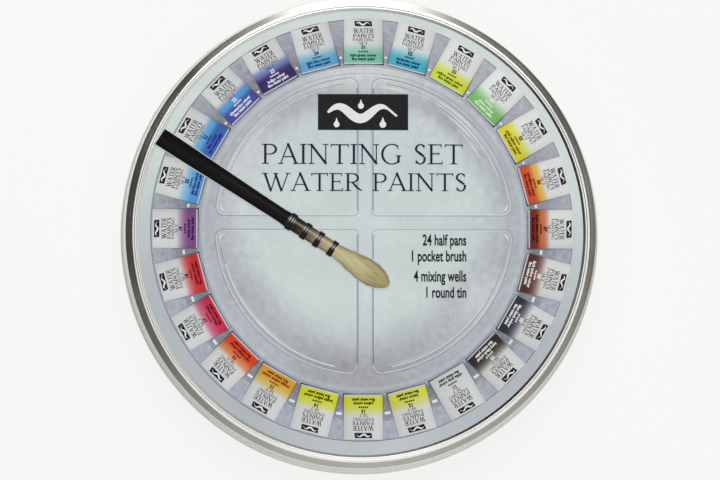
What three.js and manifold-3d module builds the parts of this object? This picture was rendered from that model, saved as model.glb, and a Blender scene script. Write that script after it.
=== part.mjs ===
// A round tinplate watercolour box: base, lift-off lid, moulded tray with a ring of 24 half pans
// round four mixing wells, and a short quill mop brush lying across the wells.
// Millimetres, +Z up. The origin is the centre of the underside that the box stands on.
import * as THREE from 'three';
import { mergeVertices } from 'three/addons/utils/BufferGeometryUtils.js';
import Module from 'manifold-3d';

// ---- driving dimensions -------------------------------------------------------------------
const SHEET = 0.5;              // tinplate, drawn slightly thicker than real for a sound solid
const GAP = 0.3;                // air kept between pieces that touch
const BOX_HEIGHT = 24;          // underside to the top of the lid's rim
const ROUND_SEGMENTS = 60;      // facets round the tin
const TRAY_SEGMENTS = 48;       // two facets for each pan
const BRUSH_SEGMENTS = 16;      // facets round the brush

const SEAM_RADIUS = 101;        // rolled seam round the foot of the base, the widest place
const SEAM_HEIGHT = 2.6;
const WALL_RADIUS = 97;         // outside of the base's wall
const WALL_TOP = 20.5;
const CURL = 0.4;               // the wall's mouth is curled inwards by this much

const LID_RADIUS = 98;          // outside of the lid's skirt
const PRINT_RADIUS = 92.5;      // flat panel inside the beads
const PANEL_DROP = 0.8;         // panel below the rim's crown
const BAND_DROP = 2.2;          // fall of the sloping band from the crown to the skirt
const SKIRT_FOOT = 12.6;        // lower edge of the skirt when the lid is on
const HEM = 0.55;               // how far the rolled hem stands out

const TRAY_SHEET = 0.8;
const TRAY_RADIUS = 94.5;
const TRAY_FOOT = SHEET + GAP;
const DECK_TOP = 9.5;
const CHANNEL_INNER = 69;       // ring channel that the pans stand in
const CHANNEL_OUTER = 90.6;
const RIB_TOP = 7;
const WELL_RADIUS = 62.5;
const WELL_FLOOR = 2.9;
const WELL_CORNER = 4;
const RIDGE_WIDTH = 5.7;        // cross between the four wells
const RIDGE_TOP = 8;

const PAN_COUNT = 24;
const PAN_RING_RADIUS = 79.8;   // centre of a pan
const PAN_LENGTH = 19.3;        // along the radius, at the top
const PAN_WIDTH = 15.9;
const PAN_HEIGHT = 10.4;
const PAN_WALL = 0.9;
const PAN_TAPER = 0.93;         // foot size over top size
const PAN_CORNER = 1.6;
const CAKE_BELOW_RIM = 1.2;

const BRUSH_ANGLE = -33 * Math.PI / 180;
const BRUSH_LENGTH = 114;
const HANDLE_LENGTH = 61;
const HANDLE_RADIUS = 3.75;
const HANDLE_NECK_RADIUS = 3;
const SPIGOT_RADIUS = 2.4;
const SPIGOT_LENGTH = 12;
const QUILL_RADIUS = 3.2;
const QUILL_BORE = 2.75;
const QUILL_START = HANDLE_LENGTH + GAP;
const QUILL_END = 88;
const HAIR_ROOT = HANDLE_LENGTH + SPIGOT_LENGTH + GAP;
const HAIR_RADIUS = 5.1;
const BAND_PLACES = [65.5, 73, 79.5, 86];
const BAND_WIRE = 0.45;         // radius of the binding wire, wound twice per band

// ---- helpers ------------------------------------------------------------------------------
const wasm = await Module();
wasm.setup();

const toSolid = (geometry) => {
  const bare = geometry.index ? geometry.toNonIndexed() : geometry.clone();
  bare.deleteAttribute('normal');
  bare.deleteAttribute('uv');
  const merged = mergeVertices(bare, 1e-4);
  return new wasm.Manifold(new wasm.Mesh({
    numProp: 3,
    vertProperties: new Float32Array(merged.attributes.position.array),
    triVerts: new Uint32Array(merged.index.array),
  }));
};

const toGeometry = (solid) => {
  const mesh = solid.getMesh();
  const geometry = new THREE.BufferGeometry();
  geometry.setAttribute('position', new THREE.BufferAttribute(mesh.vertProperties.slice(), 3));
  geometry.setIndex(new THREE.BufferAttribute(mesh.triVerts.slice(), 1));
  geometry.computeVertexNormals();
  return geometry;
};

// Solid of revolution about +Z; points are [radius, height], metal on the left of the path.
const revolve = (points, segments = ROUND_SEGMENTS) => {
  const profile = points.map(([radius, height]) => new THREE.Vector2(radius, height));
  return new THREE.LatheGeometry(profile, segments).rotateX(Math.PI / 2);
};

// Points of an arc from one angle to another, in degrees, as [radius, height] pairs.
const arc = (centreR, centreZ, radius, from, to, steps) => {
  const points = [];
  for (let i = 0; i <= steps; i += 1) {
    const angle = THREE.MathUtils.degToRad(from + (to - from) * i / steps);
    points.push([centreR + radius * Math.cos(angle), centreZ + radius * Math.sin(angle)]);
  }
  return points;
};

// Flat ring and disc for cutting the tray.
const ring = (inner, outer, low, high) => toSolid(revolve([
  [inner, low], [outer, low], [outer, high], [inner, high], [inner, low],
], TRAY_SEGMENTS));

const disc = (radius, low, high) => toSolid(revolve([
  [0, low], [radius, low], [radius, high], [0, high],
], TRAY_SEGMENTS));

const extrude = (shape, low, high, curveSegments = 3) => (
  new THREE.ExtrudeGeometry(shape, { depth: high - low, bevelEnabled: false, curveSegments })
    .translate(0, 0, low)
);

const roundedRectangle = (length, width, corner) => {
  const x = length / 2;
  const y = width / 2;
  const shape = new THREE.Shape();
  shape.absarc(x - corner, -y + corner, corner, -Math.PI / 2, 0);
  shape.absarc(x - corner, y - corner, corner, 0, Math.PI / 2);
  shape.absarc(-x + corner, y - corner, corner, Math.PI / 2, Math.PI);
  shape.absarc(-x + corner, -y + corner, corner, Math.PI, 1.5 * Math.PI);
  return shape;
};

// A block that narrows towards its foot, as a moulded pan does.
const taperedBlock = (length, width, corner, low, high, footScale) => {
  const geometry = extrude(roundedRectangle(length, width, corner), low, high, 1);
  const position = geometry.attributes.position;
  for (let i = 0; i < position.count; i += 1) {
    const rise = (position.getZ(i) - low) / (high - low);
    const scale = footScale + (1 - footScale) * rise;
    position.setXY(i, position.getX(i) * scale, position.getY(i) * scale);
  }
  return geometry;
};

const material = (color, roughness, metalness = 0) => (
  new THREE.MeshStandardMaterial({ color, roughness, metalness })
);

const named = (name, geometry, finish) => {
  const mesh = new THREE.Mesh(geometry, finish);
  mesh.name = name;
  return mesh;
};

// ---- finishes -----------------------------------------------------------------------------
const tinplate = material(0xb9b8b4, 0.25, 1);
const clearPlastic = material(0xdfe3ea, 0.2);
const panPlastic = material(0xf4f4f2, 0.4);
const handleLacquer = material(0x141414, 0.25);
const quillPlastic = material(0xcbb98f, 0.2);
const bindingWire = material(0xc9a45c, 0.3, 1);
const goatHair = material(0x8a7a55, 0.8);

// Colours of the 24 pans, clockwise from the top of the ring.
const PAINTS = [
  0x5fd3b0, 0x19b7c4, 0x9fc63b, 0x2f9a4a, 0xf2c51d, 0xd9481f,
  0x8c3a20, 0x4a2a1c, 0x1d2733, 0x221c19, 0xd5d8dc, 0xf1e34a,
  0xf7dd1c, 0xf8cf0d, 0xf2a20f, 0xe5541b, 0xb71438, 0xc4123a,
  0x6b2a8f, 0x4c9fe0, 0x1f5fc4, 0x2340a8, 0x26305e, 0x3f86d8,
];

// ---- tin ----------------------------------------------------------------------------------
// Drawn base: flat panel, raised expansion ring, rolled seam at the foot and an upright wall
// whose mouth is curled inwards a little under the lid.
const makeBase = () => {
  const ringInner = 50;
  const ringOuter = 55;
  const ringRise = 0.8;
  const ringSlope = 1;
  const lipHeight = 1;
  const seamTurn = SEAM_HEIGHT / 2;
  const inner = WALL_RADIUS - SHEET;
  return revolve([
    [0, 0], [ringInner, 0], [ringInner + ringSlope, ringRise],
    [ringOuter - ringSlope, ringRise], [ringOuter, 0],
    ...arc(SEAM_RADIUS - seamTurn, seamTurn, seamTurn, -90, 90, 4),
    [WALL_RADIUS, SEAM_HEIGHT], [WALL_RADIUS, WALL_TOP], [inner - CURL, WALL_TOP],
    [inner - CURL, WALL_TOP - lipHeight], [inner, WALL_TOP - lipHeight - CURL / 2],
    [inner, SHEET], [ringOuter + 0.2, SHEET], [ringOuter - 0.8, SHEET + ringRise - 0.05],
    [ringInner + 0.8, SHEET + ringRise - 0.05], [ringInner - 0.2, SHEET], [0, SHEET],
  ]);
};

// Lid: flat printed panel, a groove, a flat-topped bead, a rounded crown, a sloping band that
// falls from it to the skirt, and a rolled hem.
const makeLid = () => {
  const panelTop = BOX_HEIGHT - PANEL_DROP;
  const panelUnder = panelTop - SHEET;
  const grooveFloor = panelTop - 0.15;
  const beadTop = panelTop + 0.3;
  const crown = PRINT_RADIUS + 2.2;
  const inner = LID_RADIUS - SHEET;
  const skirtTop = BOX_HEIGHT - BAND_DROP;
  const hemHeight = 0.8;
  return revolve([
    [0, panelUnder], [crown - 0.2, panelUnder], [crown + 0.4, BOX_HEIGHT - 0.7],
    [inner, skirtTop - 0.25],
    [inner, SKIRT_FOOT], [LID_RADIUS + HEM, SKIRT_FOOT], [LID_RADIUS + HEM, SKIRT_FOOT + hemHeight],
    [LID_RADIUS, SKIRT_FOOT + 1.5 * hemHeight],
    [LID_RADIUS, skirtTop], [LID_RADIUS - 0.2, skirtTop + 0.25],
    [crown + 1.2, BOX_HEIGHT - 0.45], [crown + 0.6, BOX_HEIGHT - 0.1],
    [crown, BOX_HEIGHT], [crown - 0.3, BOX_HEIGHT], [crown - 0.45, panelTop],
    [PRINT_RADIUS + 1.6, beadTop], [PRINT_RADIUS + 1, beadTop],
    [PRINT_RADIUS + 0.85, grooveFloor], [PRINT_RADIUS + 0.1, grooveFloor],
    [PRINT_RADIUS, panelTop], [0, panelTop],
  ]);
};

// ---- tray ---------------------------------------------------------------------------------
// One quarter of the palette: a sector with straight sides along the ridges and a round back.
const wellOutline = (grow) => {
  const side = RIDGE_WIDTH / 2 - grow;
  const back = WELL_RADIUS + grow;
  const corner = WELL_CORNER;
  const shape = new THREE.Shape();
  const reach = Math.sqrt((back - corner) ** 2 - (side + corner) ** 2);
  const turn = Math.atan2(side + corner, reach);
  shape.absarc(side + corner, side + corner, corner, Math.PI, 1.5 * Math.PI);
  shape.absarc(reach, side + corner, corner, -Math.PI / 2, turn);
  shape.absarc(0, 0, back, turn, Math.PI / 2 - turn);
  shape.absarc(side + corner, reach, corner, Math.PI / 2 - turn, Math.PI);
  return shape;
};

const quarters = (shape, low, high) => {
  let joined = null;
  for (let i = 0; i < 4; i += 1) {
    const solid = toSolid(extrude(shape, low, high, 4).rotateZ(i * Math.PI / 2));
    joined = joined ? joined.add(solid) : solid;
  }
  return joined;
};

// Wedge-shaped rib that stands in the channel between two neighbouring pans.
const makeRib = (index) => {
  const near = 73.5;
  const far = CHANNEL_OUTER + 0.2;
  const nearHalf = 0.6;
  const farHalf = 2.6;
  const bite = 0.1;             // sunk into the floor, so that the two join
  const shape = new THREE.Shape([
    new THREE.Vector2(near, -nearHalf), new THREE.Vector2(far, -farHalf),
    new THREE.Vector2(far, farHalf), new THREE.Vector2(near, nearHalf),
  ]);
  const angle = Math.PI / 2 - (index + 0.5) * 2 * Math.PI / PAN_COUNT;
  return toSolid(extrude(shape, TRAY_FOOT + TRAY_SHEET - bite, RIB_TOP).rotateZ(angle));
};

// Thermoformed sheet: a block with its pockets cut from above and its hollows from below.
const makeTray = () => {
  const over = 1;
  const floorTop = TRAY_FOOT + TRAY_SHEET;
  const underDeck = DECK_TOP - TRAY_SHEET;
  const below = TRAY_FOOT - over;
  let tray = disc(TRAY_RADIUS, TRAY_FOOT, DECK_TOP);
  tray = tray.subtract(ring(CHANNEL_INNER, CHANNEL_OUTER, floorTop, DECK_TOP + over));
  tray = tray.subtract(disc(WELL_RADIUS, RIDGE_TOP, DECK_TOP + over));
  tray = tray.subtract(quarters(wellOutline(0), WELL_FLOOR, DECK_TOP));
  tray = tray.subtract(ring(CHANNEL_OUTER + TRAY_SHEET, TRAY_RADIUS + over, below, underDeck));
  tray = tray.subtract(
    ring(WELL_RADIUS + TRAY_SHEET, CHANNEL_INNER - TRAY_SHEET, below, underDeck),
  );
  const underWells = disc(WELL_RADIUS + TRAY_SHEET + 0.01, below, RIDGE_TOP - TRAY_SHEET);
  tray = tray.subtract(
    underWells.subtract(quarters(wellOutline(TRAY_SHEET), WELL_FLOOR - TRAY_SHEET, DECK_TOP)),
  );
  for (let i = 0; i < PAN_COUNT; i += 1) {
    tray = tray.add(makeRib(i));
  }
  return toGeometry(tray);
};

// ---- half pans ----------------------------------------------------------------------------
const panFoot = TRAY_FOOT + TRAY_SHEET + GAP;

const makeCup = () => {
  const outer = toSolid(taperedBlock(PAN_LENGTH, PAN_WIDTH, PAN_CORNER, 0, PAN_HEIGHT, PAN_TAPER));
  const inner = toSolid(taperedBlock(
    PAN_LENGTH - 2 * PAN_WALL, PAN_WIDTH - 2 * PAN_WALL, PAN_CORNER - 0.5,
    PAN_WALL, PAN_HEIGHT + 0.01, PAN_TAPER,
  ));
  return toGeometry(outer.subtract(inner));
};

const makeCake = () => {
  const slack = 2 * (PAN_WALL + GAP) + GAP;
  return taperedBlock(
    PAN_LENGTH - slack, PAN_WIDTH - slack, PAN_CORNER - 0.5,
    PAN_WALL + GAP, PAN_HEIGHT - CAKE_BELOW_RIM, PAN_TAPER,
  );
};

const makePans = () => {
  const group = new THREE.Group();
  const cup = makeCup();
  const cake = makeCake();
  PAINTS.forEach((color, index) => {
    const number = String(index + 1).padStart(2, '0');
    const angle = Math.PI / 2 - index * 2 * Math.PI / PAN_COUNT;
    const pan = new THREE.Group();
    pan.add(named(`pan_cup_${number}`, cup, panPlastic));
    pan.add(named(`paint_cake_${number}`, cake, material(color, 0.7)));
    pan.position.set(PAN_RING_RADIUS * Math.cos(angle), PAN_RING_RADIUS * Math.sin(angle), panFoot);
    pan.rotation.z = angle;
    group.add(pan);
  });
  return group;
};

// ---- brush --------------------------------------------------------------------------------
// Every brush piece is turned about +Z from the butt upwards, then the whole brush is laid down.
const makeHandle = () => revolve([
  [0, 0], [HANDLE_RADIUS - 0.8, 0], [HANDLE_RADIUS, 0.9], [HANDLE_RADIUS, 14],
  [HANDLE_RADIUS - 0.2, 32], [HANDLE_NECK_RADIUS + 0.1, HANDLE_LENGTH - 6],
  [HANDLE_NECK_RADIUS, HANDLE_LENGTH], [SPIGOT_RADIUS, HANDLE_LENGTH],
  [SPIGOT_RADIUS, HANDLE_LENGTH + SPIGOT_LENGTH - 0.5],
  [SPIGOT_RADIUS - 0.5, HANDLE_LENGTH + SPIGOT_LENGTH], [0, HANDLE_LENGTH + SPIGOT_LENGTH],
], BRUSH_SEGMENTS);

const makeQuill = () => revolve([
  [QUILL_BORE, QUILL_START], [QUILL_RADIUS, QUILL_START], [QUILL_RADIUS, QUILL_END],
  [QUILL_BORE, QUILL_END], [QUILL_BORE, QUILL_START],
], BRUSH_SEGMENTS);

const makeBand = (place) => {
  const low = QUILL_RADIUS + GAP;
  const high = low + 2 * BAND_WIRE;
  const half = 2 * BAND_WIRE;
  return revolve([
    [low, place - half], [high - 0.25, place - half], [high, place - BAND_WIRE],
    [high - 0.3, place], [high, place + BAND_WIRE], [high - 0.25, place + half],
    [low, place + half], [low, place - half],
  ], BRUSH_SEGMENTS);
};

const makeHair = () => revolve([
  [0, HAIR_ROOT], [SPIGOT_RADIUS, HAIR_ROOT], [SPIGOT_RADIUS, QUILL_END],
  [HAIR_RADIUS - 1.2, QUILL_END + 5], [HAIR_RADIUS, QUILL_END + 11],
  [HAIR_RADIUS - 0.2, QUILL_END + 18], [HAIR_RADIUS - 1.4, BRUSH_LENGTH - 4],
  [HAIR_RADIUS - 3.2, BRUSH_LENGTH - 1], [0, BRUSH_LENGTH],
], BRUSH_SEGMENTS);

const makeBrush = () => {
  const standing = new THREE.Group();
  standing.add(named('brush_handle', makeHandle(), handleLacquer));
  standing.add(named('brush_quill', makeQuill(), quillPlastic));
  BAND_PLACES.forEach((place, index) => {
    standing.add(named(`binding_wire_${index + 1}`, makeBand(place), bindingWire));
  });
  standing.add(named('brush_hair', makeHair(), goatHair));
  standing.position.x = -BRUSH_LENGTH / 2;
  standing.rotation.y = Math.PI / 2;
  const brush = new THREE.Group();
  brush.add(standing);
  brush.position.z = RIDGE_TOP + GAP + HANDLE_RADIUS + BAND_WIRE;
  brush.rotation.z = BRUSH_ANGLE;
  return brush;
};

// ---- assembly -----------------------------------------------------------------------------
const group = new THREE.Group();
group.add(named('tin_base', makeBase(), tinplate));
group.add(named('tin_lid', makeLid(), tinplate));
group.add(named('pan_tray', makeTray(), clearPlastic));
group.add(makePans());
group.add(makeBrush());

export default group;
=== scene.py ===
"""Looks of the watercolor pan set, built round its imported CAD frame.

Metres, +Z up, with the tin lying flat: +Y is the top of the lid's picture and +X its right.
The tin, the tray and the brush are rebuilt as fine meshes in the place of their CAD nodes.
The lid carries a printed picture of its contents, made of thin layers, and inside are the
same pans in their paper wrappers.
"""
import random
from math import atan2, cos, degrees, dist, exp, hypot, log, pi, radians, sin, sqrt

import bpy
from mathutils import Matrix, Vector, noise
from mathutils.geometry import tessellate_polygon


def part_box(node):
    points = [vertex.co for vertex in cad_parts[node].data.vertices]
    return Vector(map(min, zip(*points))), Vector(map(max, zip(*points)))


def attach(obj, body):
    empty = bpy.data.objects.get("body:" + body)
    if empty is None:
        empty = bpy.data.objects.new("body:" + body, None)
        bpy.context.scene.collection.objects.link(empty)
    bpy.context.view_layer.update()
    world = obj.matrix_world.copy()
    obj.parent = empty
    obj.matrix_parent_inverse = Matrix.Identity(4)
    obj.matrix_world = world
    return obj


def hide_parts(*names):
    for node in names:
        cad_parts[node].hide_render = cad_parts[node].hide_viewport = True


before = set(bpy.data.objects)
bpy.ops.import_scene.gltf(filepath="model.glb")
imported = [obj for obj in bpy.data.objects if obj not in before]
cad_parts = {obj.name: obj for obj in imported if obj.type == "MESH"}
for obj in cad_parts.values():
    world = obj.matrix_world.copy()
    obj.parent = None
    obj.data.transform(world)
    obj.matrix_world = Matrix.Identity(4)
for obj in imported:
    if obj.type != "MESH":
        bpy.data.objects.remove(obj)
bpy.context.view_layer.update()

MM = 0.001

# ---- sizes read from the frame, in millimetres ----


def box_mm(node):
    low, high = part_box(node)
    return low / MM, high / MM


LID_LOW, LID_HIGH = box_mm("tin_lid")
BASE_HIGH = box_mm("tin_base")[1]
TRAY_LOW, TRAY_HIGH = box_mm("pan_tray")
CUP_LOW, CUP_HIGH = box_mm("pan_cup_01")
HANDLE_LOW, HANDLE_HIGH = box_mm("brush_handle")

HEM_RADIUS = LID_HIGH.x
LID_TOP = LID_HIGH.z
SKIRT_FOOT = LID_LOW.z
SEAM_RADIUS = BASE_HIGH.x
WALL_TOP = BASE_HIGH.z
TRAY_RADIUS = TRAY_HIGH.x
DECK_TOP = TRAY_HIGH.z
TRAY_FOOT = TRAY_LOW.z
PAN_TOP = CUP_HIGH.z
PAN_FOOT = CUP_LOW.z
PAN_COUNT = 24
PAN_LENGTH = CUP_HIGH.y - CUP_LOW.y       # pan 01 stands at the top of the ring, along Y
PAN_WIDTH = CUP_HIGH.x - CUP_LOW.x
PAN_RING_RADIUS = (CUP_HIGH.y + CUP_LOW.y) / 2

SHEET = 0.5                               # tinplate
LID_RADIUS = HEM_RADIUS - 0.55            # outside of the skirt
PRINT_RADIUS = LID_RADIUS - 5.5           # flat printed panel
PANEL_TOP = LID_TOP - 0.8
WALL_RADIUS = LID_RADIUS - 1.0
CROWN_ROUND = 2.0                         # radius of the crown's outer shoulder
TIN_SEGMENTS = 288

# ---- mesh helpers ----


def turn(point, angle):
    """A point turned about the origin by an angle in radians."""
    x, y = point
    return (x * cos(angle) - y * sin(angle), x * sin(angle) + y * cos(angle))


def polar(radius, angle, centre=(0.0, 0.0)):
    """The point at a distance and an angle in radians from a centre."""
    return (centre[0] + radius * cos(angle), centre[1] + radius * sin(angle))


def sweep(centre, radius, start, end, steps):
    """Points of an arc, with its angles in degrees."""
    return [polar(radius, radians(start + (end - start) * i / steps), centre)
            for i in range(steps + 1)]


def pan_angle(index):
    """Direction of a pan's centre; pan 0 is at the top and the ring runs clockwise."""
    return pi / 2 - index * 2 * pi / PAN_COUNT


def mix(a, b, t):
    """A colour or point between two others."""
    return tuple(p + (q - p) * t for p, q in zip(a, b))


def scaled(colour, factor):
    return tuple(c * factor for c in colour)


def bell(value, width):
    return exp(-(value / width) ** 2)


def smoothstep(low, high, value):
    t = min(max((value - low) / (high - low), 0.0), 1.0)
    return t * t * (3 - 2 * t)


def srgb(r, g, b):
    """Linear colour of a colour given as 0 to 255 values."""
    def linear(v):
        v /= 255
        return v / 12.92 if v <= 0.04045 else ((v + 0.055) / 1.055) ** 2.4
    return (linear(r), linear(g), linear(b))


def place_object(name, data):
    """Puts an object in the scene."""
    made = bpy.data.objects.new(name, data)
    bpy.context.scene.collection.objects.link(made)
    return made


def make_object(name, vertices, faces, materials, body, slot=None, smooth=None, indices=None):
    """A mesh object from millimetre vertices, riding on a CAD body."""
    mesh = bpy.data.meshes.new(name)
    mesh.from_pydata([Vector(v) * MM for v in vertices], [], faces)
    mesh.validate()
    mesh.update()
    if not isinstance(materials, (list, tuple)):
        materials = [materials]
    for material in materials:
        mesh.materials.append(material)
    if indices:
        mesh.polygons.foreach_set("material_index", indices)
    if smooth is not None:
        mesh.polygons.foreach_set("use_smooth", [True] * len(mesh.polygons))
        mesh.set_sharp_from_angle(angle=radians(smooth))
    piece = place_object(name, mesh)
    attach(piece, body)
    return piece


def paint(piece, colour_of):
    """Colours each vertex; colour_of takes the vertex in millimetres."""
    tones = [colour_of(vertex.co / MM) for vertex in piece.data.vertices]
    piece.data.color_attributes.active_color = tint_vertices(piece, tones)


def tint_vertices(piece, tones):
    """Stores a list of colours, one for each vertex."""
    layer = piece.data.color_attributes.new("tint", "FLOAT_COLOR", "POINT")
    for value, tone in zip(layer.data, tones):
        value.color = (*tone, 1.0)
    return layer


def bridge(low, high, count):
    """Faces between two rings of vertices, given the first vertex of each."""
    return [[low + i, high + i, high + (i + 1) % count, low + (i + 1) % count]
            for i in range(count)]


def disc(radii, spokes, height):
    """Surface of rings round a centre point; height gives z at a point."""
    vertices, faces = [(0.0, 0.0, height(0.0, 0.0))], []
    for radius in radii:
        start = len(vertices)
        for j in range(spokes):
            x, y = polar(radius, 2 * pi * j / spokes)
            vertices.append((x, y, height(x, y)))
        ring = bridge(start - spokes, start, spokes)
        faces += ring if start > 1 else [[0, face[1], face[2]] for face in ring]
    return vertices, faces


def lathe(profile, segments):
    """Vertices and faces of a surface of revolution; the profile is [(radius, height), ...]."""
    vertices, rings, faces = [], [], []
    for radius, height in profile:
        count = segments if radius > 1e-6 else 1
        rings.append([len(vertices) + i % count for i in range(segments)])
        vertices += [(*polar(radius, 2 * pi * i / segments), height) for i in range(count)]
    for low, high in zip(rings, rings[1:]):
        for i in range(segments):
            j = (i + 1) % segments
            loop = [low[i], low[j], high[j], high[i]]
            face = [v for k, v in enumerate(loop) if v != loop[k - 1]]
            if len(face) > 2:
                faces.append(face)
    return vertices, faces


def join(shapes):
    """One list of vertices and faces from several."""
    vertices, faces = [], []
    for shape_vertices, shape_faces in shapes:
        start = len(vertices)
        vertices.extend(shape_vertices)
        faces.extend([[start + i for i in face] for face in shape_faces])
    return vertices, faces


def moved(shape, angle, offset):
    """A shape turned about Z and shifted."""
    vertices, faces = shape
    placed = [(*turn((x, y), angle), z) for x, y, z in vertices]
    return [(x + offset[0], y + offset[1], z) for x, y, z in placed], faces


def rectangle(x0, y0, x1, y1):
    return [(x0, y0), (x1, y0), (x1, y1), (x0, y1)]


def rounded(x0, y0, x1, y1, radius, steps):
    """Outline of a rectangle with rounded corners."""
    left, right, low, high = x0 + radius, x1 - radius, y0 + radius, y1 - radius
    corners = (right, low), (right, high), (left, high), (left, low)
    return [point for n, corner in enumerate(corners)
            for point in sweep(corner, radius, 90 * n - 90, 90 * n, steps)]


# ---- materials ----


class Nodes:
    """A node tree with short ways to fill it."""

    def __init__(self, owner):
        owner.use_nodes = True
        self.tree = owner.node_tree

    def put(self, node, key, value):
        """Links a socket to another node's output, or sets its constant."""
        if isinstance(value, bpy.types.NodeSocket):
            self.tree.links.new(value, node.inputs[key])
        else:
            node.inputs[key].default_value = value

    def add(self, kind, sockets=None, **settings):
        node = self.tree.nodes.new("ShaderNode" + kind)
        for key, value in settings.items():
            setattr(node, key, value)
        for key, value in (sockets or {}).items():
            self.put(node, key, value)
        return node

    def ramp(self, value, stops):
        node = self.add("ValToRGB", {"Fac": value})
        elements = node.color_ramp.elements
        while len(elements) < len(stops):
            elements.new(0.5)
        for element, (position, colour) in zip(elements, stops):
            element.position = position
            element.color = (*colour, 1.0)
        return node.outputs["Color"]


def surface(name, rough=None, tones=None, tints=(), bump=None, rotation=None, **values):
    """A material made of layers of noise, each given as (scale, detail, roughness, stretch).

    rough is a noise and the range it spans; tones is a noise, the two colours it runs between
    and where it reaches the second; tints are noises and ranges that scale the colour kept in
    the mesh; bump is a noise, a strength and a distance; values are the shader's constants.
    """
    material = bpy.data.materials.new(name)
    nodes = Nodes(material)
    shader = nodes.tree.nodes["Principled BSDF"]
    place = nodes.add("TexCoord").outputs["Object"]
    if rotation:
        place = nodes.add("Mapping", {"Vector": place, "Rotation": rotation}).outputs["Vector"]

    def field(scale, detail=3.0, roughness=0.5, stretch=None):
        where = place
        if stretch:
            where = nodes.add("Mapping", {"Vector": place, "Scale": stretch}).outputs["Vector"]
        return nodes.add("TexNoise", {"Vector": where, "Scale": scale, "Detail": detail,
                                      "Roughness": roughness}).outputs["Fac"]

    def spread(layer, low, high):
        return nodes.add("MapRange", {"Value": field(*layer), "From Min": 0.35, "From Max": 0.65,
                                      "To Min": low, "To Max": high}).outputs["Result"]

    if tones:
        layer, low, high, end = tones
        nodes.put(shader, "Base Color", nodes.ramp(field(*layer), [(0.3, low), (end, high)]))
    if tints:
        colour = nodes.add("VertexColor", layer_name="tint").outputs["Color"]
        for tint in tints:
            colour = nodes.add("VectorMath", {0: colour, "Scale": spread(*tint)},
                               operation="SCALE").outputs["Vector"]
        nodes.put(shader, "Base Color", colour)
    if rough:
        nodes.put(shader, "Roughness", spread(*rough))
    if bump:
        layer, strength, distance = bump
        height = nodes.add("Bump", {"Height": field(*layer), "Strength": strength,
                                    "Distance": distance})
        nodes.put(shader, "Normal", height.outputs["Normal"])
    for key, value in values.items():
        nodes.put(shader, key.replace("_", " "), value)
    return material


def tinplate(name, tone, smudge, rough=(0.16, 0.26), metallic=1.0):
    """Bright rolled tinplate: fine grain, soft smudges and tiny dents."""
    cloud = (35, 4, 0.55)
    return surface(name, (cloud, *rough), (cloud, scaled(tone, 1 - smudge), tone, 0.7),
                   bump=((900, 2, 0.6, (1, 1, 6)), 0.05, 0.00002), Metallic=metallic)


def printed(name, specular=0.12):
    """Varnished ink: the colour comes with the mesh, broken up by the print's fine screen."""
    return surface(name, ((120, 2), 0.28, 0.4), bump=((500, 2), 0.04, 0.00005),
                   tints=(((2600, 1, 0.5), 0.965, 1.035), ((60, 3, 0.6), 0.975, 1.025)),
                   Specular_IOR_Level=specular)


def ink(name, colour, variation=0.25):
    """One ink colour with a slight unevenness."""
    light = tuple(c * (1 + variation) + 0.004 for c in colour)
    return surface(name, ((150, 2), 0.3, 0.42), ((700, 3, 0.6), colour, light, 0.75),
                   Specular_IOR_Level=0.1)


def plastic(name, tone, rough=(0.18, 0.3)):
    """Moulded plastic with a slight orange peel and handling marks."""
    return surface(name, ((90, 4, 0.65), *rough), ((25, 4, 0.6), scaled(tone, 0.94), tone, 0.7),
                   bump=((420, 2), 0.15, 0.00006))


TIN = tinplate("tinplate", (0.80, 0.79, 0.755), 0.07)
TIN_BASE = tinplate("tinplate_base", (0.86, 0.855, 0.825), 0.05, rough=(0.40, 0.48),
                    metallic=0.5)
TIN_INSIDE = tinplate("tinplate_inside", (0.60, 0.595, 0.575), 0.22)
PRINT = printed("printed_picture")
PRINT_DEEP = printed("printed_deep_tones", 0.03)
PAPER = surface("wrapper_paper", ((200, 3), 0.42, 0.6), tints=(((1500, 4, 0.7), 0.96, 1.03),),
                bump=((160, 4, 0.6), 0.2, 0.00012), Specular_IOR_Level=0.35)
BLACK_INK = ink("black_ink", srgb(24, 24, 25))
NAVY_INK = ink("navy_ink", srgb(22, 25, 50))
GREY_INK = ink("grey_ink", srgb(96, 92, 92))
WHITE_INK = ink("white_ink", srgb(225, 228, 228), 0.02)
TRAY_PLASTIC = plastic("tray_plastic", srgb(222, 226, 232))
CUP_PLASTIC = plastic("cup_plastic", srgb(236, 236, 232), rough=(0.3, 0.45))

# ---- tin ----


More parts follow.
